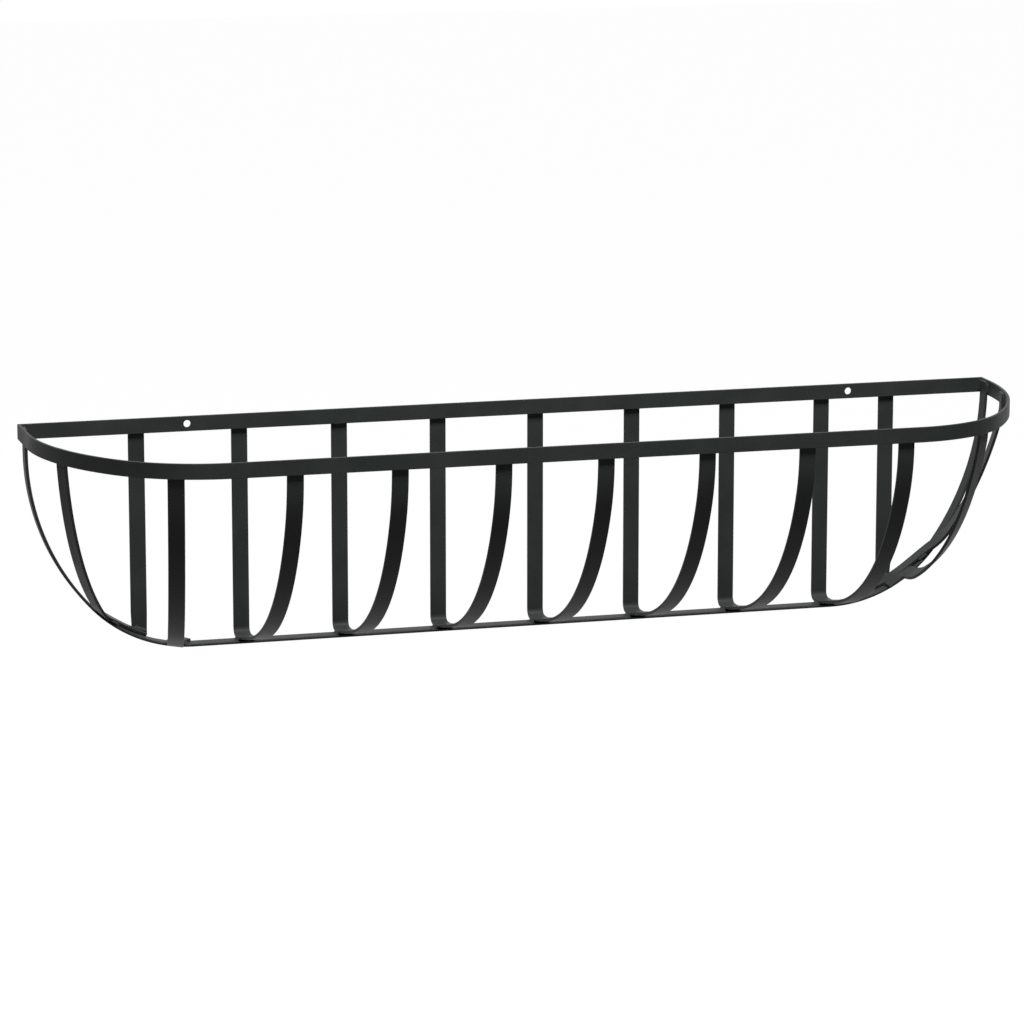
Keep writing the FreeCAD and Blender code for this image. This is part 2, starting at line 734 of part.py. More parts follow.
def rolled_frames(origin, toward, stations, first_normal, last_normal):
    """Frames of a bar along stations in an upright plane, rolling evenly.

    toward is the plane's horizontal direction. The bar's face turns to the
    first normal at the first station and to the last normal at the last one.
    """
    base = []
    for point, tangent, share in stations:
        place = Vector(origin.x, origin.y, 0) + toward * point.x - DOWN * point.y
        along = toward * tangent.x - DOWN * tangent.y
        lift = -DOWN * tangent.x - toward * tangent.y
        base.append((place, along, lift, share))
    rolls = []
    for index, normal in ((0, first_normal), (-1, last_normal)):
        _, along, lift, _ = base[index]
        rolls.append(math.atan2(normal.dot(along.cross(lift)), normal.dot(lift)))
    frames = []
    for place, along, lift, share in base:
        roll = rolls[0] + (rolls[1] - rolls[0]) * ease(share)
        normal = lift * math.cos(roll) + along.cross(lift) * math.sin(roll)
        frames.append(StripFrame(place, along, normal))
    return frames


def loft_bar(body, frames, ruled=False):
    """Loft a bar through its section placed at each frame."""
    sections = []
    for number, frame in enumerate(frames, start=1):
        section = plane_sketch(body, "%s_section_%d" % (body.Name, number), "XY_Plane")
        section.AttachmentOffset = frame.placement()
        rectangle_sketch(section, (0, 0), wide, thick,
                         ("0", "0", "dims.rib_bar_width", "dims.bar_thickness"))
        sections.append(section)
    loft = body.newObject("PartDesign::AdditiveLoft", body.Name + "_bar")
    loft.Profile = sections[0]
    loft.Sections = sections[1:]
    loft.Ruled = ruled
    body.Tip = loft
    return loft


def make_end_rib(kind, side):
    """A rib from the curved part of the hoop, twisting down to the keel."""
    hand = SIDES[side]
    body = new_body("%s_rib_%s" % (kind, hand))
    name = "%s_%s_rib_" % (hand, kind)
    foot_x = from_end(side, name + "from_end")
    upright_x = from_end(side, hand + "_upright_from_end")
    lean = math.radians(size[name + "lean_angle"])
    hoop_point, inward, hoop_radius = hoop_station(side, size[name + "hoop_angle"])
    foot, keel_normal, slope = keel_seat(foot_x)
    top = hoop_point + inward * (thick + seat_gap(hoop_radius))
    top.z = rim_half - size["bar_top_gap"]
    toward = Vector(foot.x - top.x, foot.y - top.y, 0)
    distance = toward.Length
    toward.normalize()
    end_slope = math.atan(-toward.x * math.tan(slope))
    half_foot = size["foot_length"] / 2
    depth = distance - half_foot * math.cos(end_slope)
    fall = -rim_half - foot.z - half_foot * math.sin(end_slope)
    stub = size["rim_bar_height"] - size["bar_top_gap"]
    path = end_rib_path(stub, depth, fall, lean, end_slope)
    stations = path_stations(path, LOFT_SPACING)
    frames = rolled_frames(top, toward, stations, inward, keel_normal)
    tip = StripFrame(top, DOWN, inward)
    frames.append(frames[-1].ahead(half_foot))
    frames.append(frames[-1].ahead(half_foot))
    loft_bar(body, frames)
    inset = size["weld_inset"]
    add_edge_beads("end_rib_hoop_welds", tip, inset, stub - 2 * inset)
    add_edge_beads("end_foot_welds", frames[-3], (size["foot_length"] - wide) / 2 + inset,
                   wide - 2 * inset, open_edges(foot_x, upright_x, 1))
    return body


def make_end_upright(side):
    """A short upright from the rail to a foot lying on the rising keel."""
    hand = SIDES[side]
    body = new_body("end_upright_" + hand)
    x = from_end(side, hand + "_upright_from_end")
    neighbour_x = from_end(side, hand + "_corner_rib_from_end")
    foot, keel_normal, _ = keel_seat(x)
    heel_radius = size["rib_heel_radius"] - half_thick
    forward = Vector(0, -1, 0)
    at_rail = StripFrame(Vector(x, half_thick, rim_half - size["bar_top_gap"]), DOWN,
                         forward)
    centre = Vector(x, half_thick - heel_radius, foot.z + heel_radius)
    foot_roll = math.degrees(math.atan2(keel_normal.x, keel_normal.z))
    frames = [at_rail]
    for number in range(HEEL_STEPS + 1):
        share = number / HEEL_STEPS
        turn = share * math.pi / 2
        tangent = DOWN * math.cos(turn) + forward * math.sin(turn)
        lift = forward * math.cos(turn) - DOWN * math.sin(turn)
        roll = Rotation(tangent, -foot_roll * ease(share))
        frames.append(StripFrame(centre - lift * heel_radius, tangent, roll.multVec(lift)))
    foot_run = size["keel_setback"] + wide / 2 - heel_radius + half_thick
    frames.append(frames[-1].ahead(foot_run))
    loft_bar(body, frames, ruled=True)
    inset = size["weld_inset"]
    rail_side = StripFrame(at_rail.point, DOWN, -forward)
    add_edge_beads("rib_rail_welds", rail_side, inset, at_rail.point.z + rim_half - 2 * inset)
    add_edge_beads("end_foot_welds", frames[-2], foot_run - wide + inset, wide - 2 * inset,
                   open_edges(x, neighbour_x, -1))
    return body


pieces = [make_back_rail(), make_front_hoop(), make_keel_strap()]
for number in range(1, RIB_COUNT + 1):
    pieces.append(make_rib(number))
for side in SIDES:
    pieces += [make_end_upright(side), make_end_rib("side", side), make_end_rib("corner", side)]
for label in beads:
    pieces.append(make_weld_group(label))
doc.recompute()

for item in doc.Objects:
    if "Invalid" in item.State or "Error" in item.State:
        raise RuntimeError("%s did not recompute: %s" % (item.Name, item.State))
for piece in pieces:
    if piece.Shape.isNull() or not piece.Shape.isValid():
        raise RuntimeError("%s has no sound shape" % piece.Label)

os.makedirs("parts", exist_ok=True)
for piece in pieces:
    piece.Shape.exportStep(os.path.join("parts", piece.Label + ".step"))
    box = piece.Shape.BoundBox
    print("%-20s %3d solid(s)  %9.1f mm3  X %.1f..%.1f  Y %.1f..%.1f  Z %.1f..%.1f"
          % (piece.Label, len(piece.Shape.Solids), piece.Shape.Volume, box.XMin, box.XMax,
             box.YMin, box.YMax, box.ZMin, box.ZMax))
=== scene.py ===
"""Window box planter: rounded flat bar, weld beads, powder coat and a plain stage.

Every length is in metres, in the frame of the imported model: +X along the wall,
the wall behind at +Y, +Z up, and the origin midway between the screw holes.
"""
import math

import bpy
import numpy as np
from bpy.props import FloatProperty, FloatVectorProperty, PointerProperty
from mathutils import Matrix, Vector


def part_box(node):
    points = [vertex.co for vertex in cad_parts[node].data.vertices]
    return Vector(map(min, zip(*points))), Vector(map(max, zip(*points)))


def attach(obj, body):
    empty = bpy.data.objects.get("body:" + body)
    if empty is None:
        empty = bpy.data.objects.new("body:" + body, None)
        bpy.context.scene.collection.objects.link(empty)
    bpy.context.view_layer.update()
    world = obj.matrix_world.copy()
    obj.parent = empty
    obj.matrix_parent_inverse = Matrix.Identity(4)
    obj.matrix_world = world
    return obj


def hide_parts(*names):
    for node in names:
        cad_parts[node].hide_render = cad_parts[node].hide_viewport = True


bl_info = {
    "name": "Window box planter",
    "version": (1, 0, 0),
    "blender": (4, 5, 0),
    "location": "3D View > Sidebar > Planter",
    "description": "Builds a wall-hung basket of powder-coated flat bar and its stage",
    "category": "Add Mesh",
}

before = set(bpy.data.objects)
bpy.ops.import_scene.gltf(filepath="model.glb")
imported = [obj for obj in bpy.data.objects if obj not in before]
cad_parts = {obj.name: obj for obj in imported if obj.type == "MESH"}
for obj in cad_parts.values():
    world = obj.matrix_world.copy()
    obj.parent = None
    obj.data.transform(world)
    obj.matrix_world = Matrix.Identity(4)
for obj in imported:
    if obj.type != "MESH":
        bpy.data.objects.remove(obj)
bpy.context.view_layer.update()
BODY = "root"

RAIL_LOW, RAIL_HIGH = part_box("back_rail")
HOOP_LOW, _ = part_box("front_hoop")
KEEL_LOW, KEEL_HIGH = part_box("keel_strap")

SIDES = {-1: "left", 1: "right"}
DOWN = np.array([0.0, 0.0, -1.0])
FORWARD = np.array([0.0, -1.0, 0.0])
QUARTER = math.pi / 2

# The bent ends of hoop and keel: radii of the outer and inner arc as shares of
# the bar's reach or drop, and the angle in degrees that the outer arc turns.
BENT_ENDS = {
    "hoop": {-1: (0.9206, 0.5476, 40.2), 1: (1.2063, 0.5063, 36.4)},
    "keel": {-1: (1.0529, 0.6304, 42.9), 1: (1.2534, 0.6518, 35.5)},
}
# Regular ribs: how far the first and last stand inside the places where hoop and
# keel begin to bend, and then, from the hoop down, radii, angles and the flat run.
RIB_COUNT = 7
RIB_FIRST_PAST_BEND = 0.0497
RIB_LAST_BEFORE_BEND = 0.0018
RIB_BREAST_RADIUS = 0.144
RIB_BELLY_ANGLE = 68.8
RIB_SOLE_RADIUS = 0.0585
RIB_SOLE_ANGLE = 12.2
RIB_FLAT_RUN = 0.0055
RIB_HEEL_RADIUS = 0.009
# How far the tops of ribs, uprights and keel lie under the rim's top edge.
TOP_GAP = 0.001
# End ribs: degrees that the hoop has turned, foot's distance from the rail's
# end, and lean inwards in degrees.
END_RIBS = {
    ("side", -1): (21.1, 0.082, 12.1),
    ("side", 1): (12.9, 0.0655, 14.9),
    ("corner", -1): (67.4, 0.1485, 8.4),
    ("corner", 1): (50.5, 0.0875, 21.0),
}
KNUCKLE_RADIUS = 0.030
END_SOLE_RADIUS = 0.088
FOOT_LENGTH = 0.022
UPRIGHT_FROM_END = {-1: 0.117, 1: 0.1043}
# Feet of the end ribs: the end's distance from the rail's end, its distance in
# front of the wall and its heading off the keel's line in degrees.
TAILS = {
    ("side", -1): (0.1195, 0.005, 20.0),
    ("side", 1): (0.1175, 0.006, 14.0),
    ("corner", -1): (0.1605, 0.008, 40.0),
    ("corner", 1): (0.109, 0.0255, 2.0),
}

# Spacing of the rings along a bar, on a straight run and in a bend, and the
# number of steps along a foot and along the rail's ends and middle.
RUN_STEP = 0.020
BEND_STEP = 0.003
TAIL_STEPS = 14
RAIL_END_STEPS = 8
RAIL_MIDDLE_STEPS = 32
# Steps round a rounded corner, over a cut end's rounding and across a wide face,
# and how far that end's rounding turns.
CORNER_STEPS = 4
END_STEPS = 3
FACE_STEPS = 8
END_TURN = 0.85 * QUARTER
# Rings between the square and the circle round a screw hole, as shares of the
# way, and the least y of a unit normal on the rail's wide faces.
HOLE_FACE_SHARES = (0.0, 0.45, 0.8)
WIDE_FACE_SHARE = 0.99

# Weld beads: how far an end stays inside a bar's edge, the share of the length
# cut off each tip, the taper's power, a ripple's bow in pitches, the rings of a
# ripple and of the shortest bead, the steps round the corner, the length of a
# foot's beads as a share of the bar's width, and the angle of a sharp edge.
BEAD_INSET = 0.001
BEAD_TIP = 0.004
BEAD_TAPER_POWER = 6
RIPPLE_BOW = 0.35
RIPPLE_RINGS = 6
BEAD_LEAST_RINGS = 8
BEAD_STEPS = 8
FOOT_BEAD_SHARE = 2 / 3
CREASE_ANGLE = math.radians(60)
# Points that agree to so many decimals are one point.
JOIN_DECIMALS = 7

# Powder coat: widths of its slow clouds, its specks and the lumps over a weld,
# how far tone and roughness swing either way, and its weak reflection.
CLOUD_SIZE = 0.045
SPECK_SIZE = 0.0016
LUMP_SIZE = 0.0009
LUMP_HEIGHT = 0.00008
CLOUD_SWING = 0.14
SPECK_SWING = 0.07
SATIN_SWING = 0.05
WELD_ROUGHER = 0.06
COAT_SPECULAR = 0.045

# Stage: the floor's half width and its glow and grey in the camera's view, each
# lamp's size and place, the point that the lamps face, and the camera.
FLOOR_HALF = 14.0
FLOOR_GLOW = 0.985
FLOOR_SHADE = 0.07
LAMPS = {
    "top": ((2.6, 0.7), (0.0, -1.0, 2.2)),
    "front": ((2.4, 1.2), (-1.2, -3.0, 1.2)),
}
LAMP_AIM = (0.0, -0.1, -0.1)
CAMERA_PLACE = (-1.216, -4.336, 0.8135)
CAMERA_TURN = (math.radians(78.44), 0.0, math.radians(-15.52))
CAMERA_SENSOR = 36.0


# ---- Settings ----
def linear(code):
    """Linear RGB of an sRGB hex colour: ((c + 0.055) / 1.055) ** 2.4."""
    shares = np.array([int(code[i:i + 2], 16) for i in (1, 3, 5)]) / 255.0
    low = shares / 12.92
    high = ((shares + 0.055) / 1.055) ** 2.4
    return tuple(np.where(shares <= 0.04045, low, high))


def length(name, description, default):
    """A length property in metres."""
    return FloatProperty(name=name, description=description, default=default, min=0.0,
                         unit="LENGTH", precision=4)


class PlanterSizes(bpy.types.PropertyGroup):
    """Sizes of the flat bars and of the basket that they make."""

    thickness: length("Bar thickness", "Thickness of every flat bar",
                      float(RAIL_HIGH[1] - RAIL_LOW[1]))
    rim_height: length("Rim bar height", "Height of the back rail and the front hoop",
                       float(RAIL_HIGH[2] - RAIL_LOW[2]))
    rib_width: length("Rib width", "Width of the ribs, the uprights and the keel",
                      float(KEEL_HIGH[1] - KEEL_LOW[1]))
    edge_radius: length("Edge radius", "Rounding of the bars' long edges and cut ends",
                        0.0005)
    keel_edge: length("Keel edge radius", "Rounding of the keel's long edges", 0.0012)
    hoop_reach: length("Hoop reach", "From the wall side of the rail to the hoop's front",
                       float(-HOOP_LOW[1]))
    keel_drop: length("Keel drop", "From the rail's middle down to the keel's underside",
                      float(-KEEL_LOW[2]))
    keel_setback: length("Keel setback", "From the rail's back face to the keel's middle",
                         float(-(KEEL_LOW[1] + KEEL_HIGH[1]) / 2))
    screw_spacing: length("Screw spacing", "Distance between the two screw holes", 0.686)
    screw_hole: length("Screw hole", "Diameter of the two screw holes", 0.0072)


class BeadSizes(bpy.types.PropertyGroup):
    """Sizes of the weld beads."""

    leg: length("Leg", "How far a bead reaches along each of its two bars", 0.0022)
    ripple_pitch: length("Ripple pitch", "Distance from one ripple to the next", 0.0013)
    ripple_depth: FloatProperty(name="Ripple depth", min=0.0, max=0.5, default=0.14,
                                description="Depth of the ripples as a share of the leg")
    crown: FloatProperty(name="Crown", min=0.5, max=1.0, default=0.82,
                         description="Height of a bead's middle as a share of the leg")


class CoatLook(bpy.types.PropertyGroup):
    """Colour and texture of the powder coat."""

    colour: FloatVectorProperty(name="Coat colour", subtype="COLOR", size=3, min=0.0,
                                max=1.0, default=linear("#2B2D2C"),
                                description="Colour of the satin black powder coat")
    roughness: FloatProperty(name="Roughness", min=0.0, max=1.0, default=0.46,
                             description="Roughness of the satin coat")
    peel_size: length("Orange peel size", "Width of the coat's fine dimples", 0.0011)
    peel_height: length("Orange peel height", "Depth of the coat's fine dimples", 0.00002)


class StageLook(bpy.types.PropertyGroup):
    """Floor, lamps and camera."""

    floor_colour: FloatVectorProperty(name="Floor colour", subtype="COLOR", size=3,
                                      min=0.0, max=1.0, default=linear("#A4A4A2"),
                                      description="Colour of the plain pale floor")
    floor_drop: length("Floor drop", "From the rail down to the floor", 0.95)
    top_power: FloatProperty(name="Top lamp", min=0.0, default=160.0, unit="POWER",
                             description="Power of the large lamp above")
    front_power: FloatProperty(name="Front lamp", min=0.0, default=1.0, unit="POWER",
                               description="Power of the soft lamp in front")
    sky: FloatProperty(name="Sky", min=0.0, max=2.0, default=0.01,
                       description="Strength of the even light from all round")
    lens: FloatProperty(name="Lens", min=10.0, max=400.0, default=160.8,
                        description="Focal length of the camera in millimetres")


# ---- Paths: centre lines of runs and arcs ----
def run(distance):
    """A straight move: its length and no turn."""
    return distance, 0.0


def bend(radius, turn):
    """A bend in radians, positive to the left: arc length and turn."""
    return radius * abs(turn), turn


def trace(start, heading, moves):
    """Points and headings of a path in a plane, ring by ring.

    On a run the point goes on by s in the heading's direction. On an arc of
    signed radius R the heading grows evenly from h0 to h, and the point is
    p0 + R (sin h - sin h0, cos h0 - cos h).
    """
    point = np.array(start, dtype=float)
    points, headings = [point[None, :]], [np.array([heading])]
    for distance, turn in moves:
        if distance <= 0:
            continue
        step = BEND_STEP if turn else RUN_STEP
        share = np.linspace(0.0, 1.0, max(1, math.ceil(distance / step)) + 1)[1:, None]
        ahead = heading + turn * share
        if turn:
            radius = distance / turn
            offset = radius * np.hstack([np.sin(ahead) - math.sin(heading),
                                         math.cos(heading) - np.cos(ahead)])
        else:
            offset = distance * share * np.array([math.cos(heading), math.sin(heading)])
        points.append(point + offset)
        headings.append(ahead[:, 0])
        point = points[-1][-1]
        heading += turn
    return np.vstack(points), np.concatenate(headings)


def in_plane(flat, x_axis, y_axis, origin=(0.0, 0.0, 0.0)):
    """Places plane points or directions in space: origin + x X + y Y."""
    x_axis, y_axis = np.asarray(x_axis), np.asarray(y_axis)
    return np.asarray(origin) + flat[:, :1] * x_axis + flat[:, 1:] * y_axis


def bar_frames(points, headings, x_axis, y_axis, origin):
    """Places, directions and left-hand normals of a bar that lies in one plane."""
    ahead = np.stack([np.cos(headings), np.sin(headings)], axis=1)
    left = np.stack([-np.sin(headings), np.cos(headings)], axis=1)
    return (in_plane(points, x_axis, y_axis, origin), in_plane(ahead, x_axis, y_axis),
            in_plane(left, x_axis, y_axis))


# ---- Surfaces: sections carried along frames ----
def bar_section(width, thickness, radius):
    """Rounded rectangle with its outward normals.

    Each corner is an arc of the radius about a centre that lies as far inside
    both edges. The wide faces are divided evenly between the corners.
    """
    half_x, half_y = width / 2 - radius, thickness / 2 - radius
    arc = np.linspace(0.0, QUARTER, CORNER_STEPS + 1)
    points, normals = [], []
    for index, (sx, sy) in enumerate(((1, 1), (-1, 1), (-1, -1), (1, -1))):
        angle = arc + index * QUARTER
        spoke = np.stack([np.cos(angle), np.sin(angle)], axis=1)
        points.append(np.array([sx * half_x, sy * half_y]) + radius * spoke)
        normals.append(spoke)
        if index in (0, 2):
            share = np.linspace(0.0, 1.0, FACE_STEPS + 1)[1:-1, None]
            begin = points[-1][-1]
            end = begin * np.array([-1.0, 1.0])
            points.append(begin + (end - begin) * share)
            normals.append(np.repeat(spoke[-1:], FACE_STEPS - 1, axis=0))
    return np.vstack(points), np.vstack(normals)


def tube_faces(rings, around, first=0):
    """Quads between rings of points, closed round the tube."""
    ring, spot = np.meshgrid(np.arange(rings - 1), np.arange(around), indexing="ij")
    following = (spot + 1) % around
    quads = np.stack([ring * around + spot, ring * around + following,
                      (ring + 1) * around + following, (ring + 1) * around + spot], axis=-1)
    return first + quads.reshape(-1, 4)


def closed_tube(rings, around):
    """Faces of a tube: its quads, and then one face over each end."""
    last = (rings - 1) * around
    return (tube_faces(rings, around).tolist()
            + [list(range(around))[::-1], list(range(last, last + around))])


def bar_surface(frames, width, thickness, radius):
    """A flat bar with rounded edges and rounded cut ends.

    Point = place + across x + normal y for each section point (x, y). At an
    end the section is drawn in by r (1 - cos a) while it comes out by r sin a
    from a place that lies r inside the cut, with a from 0 to the end's turn.
    """
    places, aheads, normals = frames
    angles = np.linspace(0.0, END_TURN, END_STEPS + 1)
    shrinks = radius * (1 - np.cos(angles))
    outs = radius * (np.sin(angles) - 1)
    count = len(places)
    order = np.concatenate([np.zeros(END_STEPS + 1, int), np.arange(1, count - 1),
                            np.full(END_STEPS + 1, count - 1)])
    shrink = np.concatenate([shrinks[::-1], np.zeros(count - 2), shrinks])
    out = np.concatenate([-outs[::-1], np.zeros(count - 2), outs])
    tilt = np.concatenate([-angles[::-1], np.zeros(count - 2), angles])
    place = places[order] + aheads[order] * out[:, None]
    ahead, normal = aheads[order], normals[order]
    across = np.cross(normal, ahead)
    full, facing = bar_section(width, thickness, radius)
    inner = full[None] - facing[None] * shrink[:, None, None]
    points = (place[:, None] + across[:, None] * inner[..., :1]
              + normal[:, None] * inner[..., 1:])
    shade = across[:, None] * facing[None, :, :1] + normal[:, None] * facing[None, :, 1:]
    shade = shade * np.cos(tilt)[:, None, None] + ahead[:, None] * np.sin(tilt)[:, None, None]
    return points.reshape(-1, 3), shade.reshape(-1, 3), closed_tube(*points.shape[:2])


def drilled(surface, holes, thickness, height, radius, hole_radius):
    """Takes the square round each hole out of a bar's two faces, and lines the hole.

    The bar's back face lies at y = 0, and two ends close its list of faces.
    The lining goes from the square on the front face to a circle, over a
    rounded lip, through the bar and out to the square on the back face: at
    each level the point lies between square and circle by a share, or on a
    circle whose radius follows the lip's quarter circle.
    """
    points, shade, faces = surface
    quads = np.array(faces[:-2])
    caps = faces[-2:]
    half = height / 2 - radius
    middles = points[quads].mean(axis=1)
    gap = np.zeros(len(quads), bool)
    for x in holes:
        inside = (np.abs(middles[:, 0] - x) < half) & (np.abs(middles[:, 2]) < half)
        gap |= inside & (np.abs(shade[quads[:, 0]][:, 1]) > WIDE_FACE_SHARE)
    quads = quads[~gap]
    side = np.linspace(-half, half, FACE_STEPS + 1)[:-1]
    edge = np.full(FACE_STEPS, half)
    square = np.stack([np.concatenate([side, edge, -side, -edge]),
                       np.concatenate([-edge, side, edge, -side])], axis=1)
    angle = np.arctan2(square[:, 1], square[:, 0])
    circle = np.stack([np.cos(angle), np.sin(angle)], axis=1)
    lip = np.linspace(0.0, QUARTER, CORNER_STEPS + 1)
    start = (hole_radius + radius) * circle
    shares = np.array(HOLE_FACE_SHARES)[:, None, None]
    face = square * (1 - shares) + start * shares
    ring = (hole_radius + radius * (1 - np.sin(lip)))[:, None, None] * circle
    plane = np.vstack([face.reshape(-1, 2), ring.reshape(-1, 2)])
    level = np.zeros(len(HOLE_FACE_SHARES))
    depth = np.concatenate([level, radius * (1 - np.cos(lip))])
    tilt = np.concatenate([level, lip])
    rings, around = len(depth), len(square)
    depths = np.repeat(depth, around)
    front_ring = np.insert(plane, 1, depths - thickness, axis=1)
    back_ring = np.insert(plane, 1, -depths, axis=1)
    tilts = np.repeat(tilt, around)
    spokes = np.tile(circle, (rings, 1))
    front_shade = np.stack([-spokes[:, 0] * np.sin(tilts), -np.cos(tilts),
                            -spokes[:, 1] * np.sin(tilts)], axis=1)
    back_shade = front_shade * np.array([1.0, -1.0, 1.0])
    back_order = np.arange(rings * around).reshape(rings, around)[::-1].ravel()
    lining = np.vstack([front_ring, back_ring[back_order]])
    lining_shade = np.vstack([front_shade, back_shade[back_order]])
    all_points, all_shade, all_faces = [points], [shade], quads.tolist() + caps
    for x in holes:
        first = sum(len(part) for part in all_points)
        all_points.append(lining + np.array([x, 0.0, 0.0]))
        all_shade.append(lining_shade)
        all_faces += tube_faces(2 * rings, around, first).tolist()
    return np.vstack(all_points), np.vstack(all_shade), all_faces


def bead_surface(corner, along, distance, first_leg, second_leg, look):
    """A rippled weld bead in an inside corner.

    Round the corner the bead's radius is leg (1 - (1 - crown) sin^2 2a), with
    a from one bar to the other. At a share u of its length it is tapered by
    (1 - |2u - 1|^6)^0.5, and then dips by depth (1 - |sin pi w|) sin 2a of
    itself, where w counts the ripples, each bowed forwards in its middle.
    """
    rings = max(BEAD_LEAST_RINGS, int(round(distance / (look.ripple_pitch / RIPPLE_RINGS))))
    share = np.linspace(BEAD_TIP, 1 - BEAD_TIP, rings + 1)[:, None]
    angle = np.linspace(0.0, QUARTER, BEAD_STEPS + 1)[None, :]
    taper = np.sqrt(1 - np.abs(2 * share - 1) ** BEAD_TAPER_POWER)
    bow = RIPPLE_BOW * look.ripple_pitch * np.cos(2 * angle - QUARTER)
    wave = (share * distance + bow) / look.ripple_pitch
    ripple = 1 - np.abs(np.sin(math.pi * wave))
    radius = look.leg * taper * (1 - (1 - look.crown) * np.sin(2 * angle) ** 2)
    radius = radius * (1 - look.ripple_depth * ripple * np.sin(2 * angle))
    legs = (np.cos(angle)[..., None] * first_leg + np.sin(angle)[..., None] * second_leg)
    root = corner + along * distance * share
    curved = root[:, None] + radius[..., None] * legs
    points = np.concatenate([curved, root[:, None]], axis=1)
    faces = closed_tube(*points.shape[:2])
    if np.dot(np.cross(first_leg, second_leg), along) < 0:
        faces = [face[::-1] for face in faces]
    return points.reshape(-1, 3), faces


def edge_beads(place, ahead, normal, first, distance, sizes, look, sides=(-1, 1)):
    """Beads along the edges of a bar that lies on another with its back."""
    across = np.cross(ahead, normal)
    beads = []
    for side in sides:
        corner = (place + ahead * first + across * (side * sizes.rib_width / 2)
                  - normal * sizes.thickness / 2)
        beads.append(bead_surface(corner, ahead, distance, across * side, normal, look))
    return beads


# ---- Pieces ----
def add_piece(name, node, material, points, faces, shade=None):
    """Puts a surface into a mesh object that replaces a node, equal points joined."""
    _, first, joined = np.unique(np.round(points, JOIN_DECIMALS), axis=0,
                                 return_index=True, return_inverse=True)
    joined = joined.ravel()
    points = points[first]
    faces = [joined[face].tolist() for face in faces]
    mesh = bpy.data.meshes.new(name)
    mesh.from_pydata(points.tolist(), [], faces)
    mesh.validate()
    mesh.polygons.foreach_set("use_smooth", np.ones(len(mesh.polygons), bool))
    if shade is None:
        mesh.set_sharp_from_angle(angle=CREASE_ANGLE)
    else:
        mesh.normals_split_custom_set_from_vertices(shade[first].tolist())
    mesh.materials.append(material)
    piece = bpy.data.objects.new(name, mesh)
    bpy.context.collection.objects.link(piece)
    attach(piece, BODY)
    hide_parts(node)


def add_bar(context, name, node, frames, width, radius=None):
    """A rounded bar along its frames, in the powder coat."""
    sizes = context.scene.planter_sizes
    points, shade, faces = bar_surface(frames, width, sizes.thickness,
                                       radius or sizes.edge_radius)
    add_piece(name, node, coat_material(context), points, faces, shade)


def end_x(side):
    """X of the rail's left or right end."""
    return float(RAIL_LOW[0] if side < 0 else RAIL_HIGH[0])


def end_curve(bar, side, extent, depth=0.0):
    """Outer and inner radius, turn, span and reach of a bar's bent end.

    With the radii R and r of the two arcs and the turn t of the outer one,
    they span R (1 - cos t) + r cos t along the wall and reach
    R sin t + r (1 - sin t) across it.
    """
    side_share, corner_share, turn = BENT_ENDS[bar][side]
    side_radius = side_share * extent - depth
    corner_radius = corner_share * extent - depth
    turn = math.radians(turn)
    span = side_radius * (1 - math.cos(turn)) + corner_radius * math.cos(turn)
    reach = side_radius * math.sin(turn) + corner_radius * (1 - math.sin(turn))
    return side_radius, corner_radius, turn, span, reach


def bent_ends(bar, extent, thickness, left, right, start):
    """Down one side, round two arcs, along, round two arcs and up the other."""
    half = thickness / 2
    bottom = half - extent
    outer, inner, turn, left_span, reach = end_curve(bar, -1, extent, half)
    moves = [run(start - bottom - reach), bend(outer, turn), bend(inner, QUARTER - turn)]
    outer, inner, turn, right_span, reach = end_curve(bar, 1, extent, half)
    moves += [run(right - left - left_span - right_span), bend(inner, QUARTER - turn),
              bend(outer, turn), run(start - bottom - reach)]
    return trace((left, start), -QUARTER, moves)


def hoop_station(sizes, side, degrees):
    """Middle of the hoop where it has turned so far, its inward normal and inner radius."""
    outer, inner, side_turn, span, reach = end_curve("hoop", side, sizes.hoop_reach)
    turn = math.radians(degrees)
    if turn <= side_turn:
        centre = (end_x(side) - side * outer, reach - sizes.hoop_reach)
        radius = outer
    else:
        centre = (end_x(side) - side * span, inner - sizes.hoop_reach)
        radius = inner
    inward = np.array([-side * math.cos(turn), math.sin(turn), 0.0])
    point = np.array([*centre, 0.0]) - inward * (radius - sizes.thickness / 2)
    return point, inward, radius - sizes.thickness


def keel_station(sizes, x):
    """Middle of the keel at x, its upward normal, its slope and its radius.

    On an arc the sine of the slope is the distance along the wall from the
    arc's centre over the radius.
    """
    half = sizes.thickness / 2
    side = -1 if x < (end_x(-1) + end_x(1)) / 2 else 1
    outer, inner, side_turn, span, reach = end_curve("keel", side, sizes.keel_drop)
    past = side * (x - (end_x(side) - side * (sizes.thickness + span)))
    slope, height, radius = 0.0, half - sizes.keel_drop, 0.0
    if past > (inner - half) * math.cos(side_turn):
        radius = outer - half
        slope = math.asin((past - span + outer) / radius)
        height = reach - sizes.keel_drop - radius * math.cos(slope)
    elif past > 0:
        radius = inner - half
        slope = math.asin(past / radius)
        height = half - sizes.keel_drop + radius * (1 - math.cos(slope))
    point = np.array([x, -sizes.keel_setback, height])
    normal = np.array([-side * math.sin(slope), 0.0, math.cos(slope)])
    return point, normal, side * slope, radius


def seat_gap(radius, width):
    """Rise R - (R^2 - w^2 / 4)^0.5 of a flat bar over a hollow face of radius R."""
    return radius - math.sqrt(radius ** 2 - width ** 2 / 4) if radius > 0 else 0.0


def keel_seat(sizes, x):
    """Middle at x of a bar that lies across the keel, its normal and its slope.

    It stands off from the keel's middle along the normal, by the thickness
    and the rise over the hollow.
    """
    _, normal, _, radius = keel_station(sizes, x)
    lift = sizes.thickness + seat_gap(radius - sizes.thickness / 2, sizes.rib_width)
    point, normal, slope, _ = keel_station(sizes, x - normal[0] * lift)
    return np.array([x, point[1], point[2] + normal[2] * lift]), normal, slope


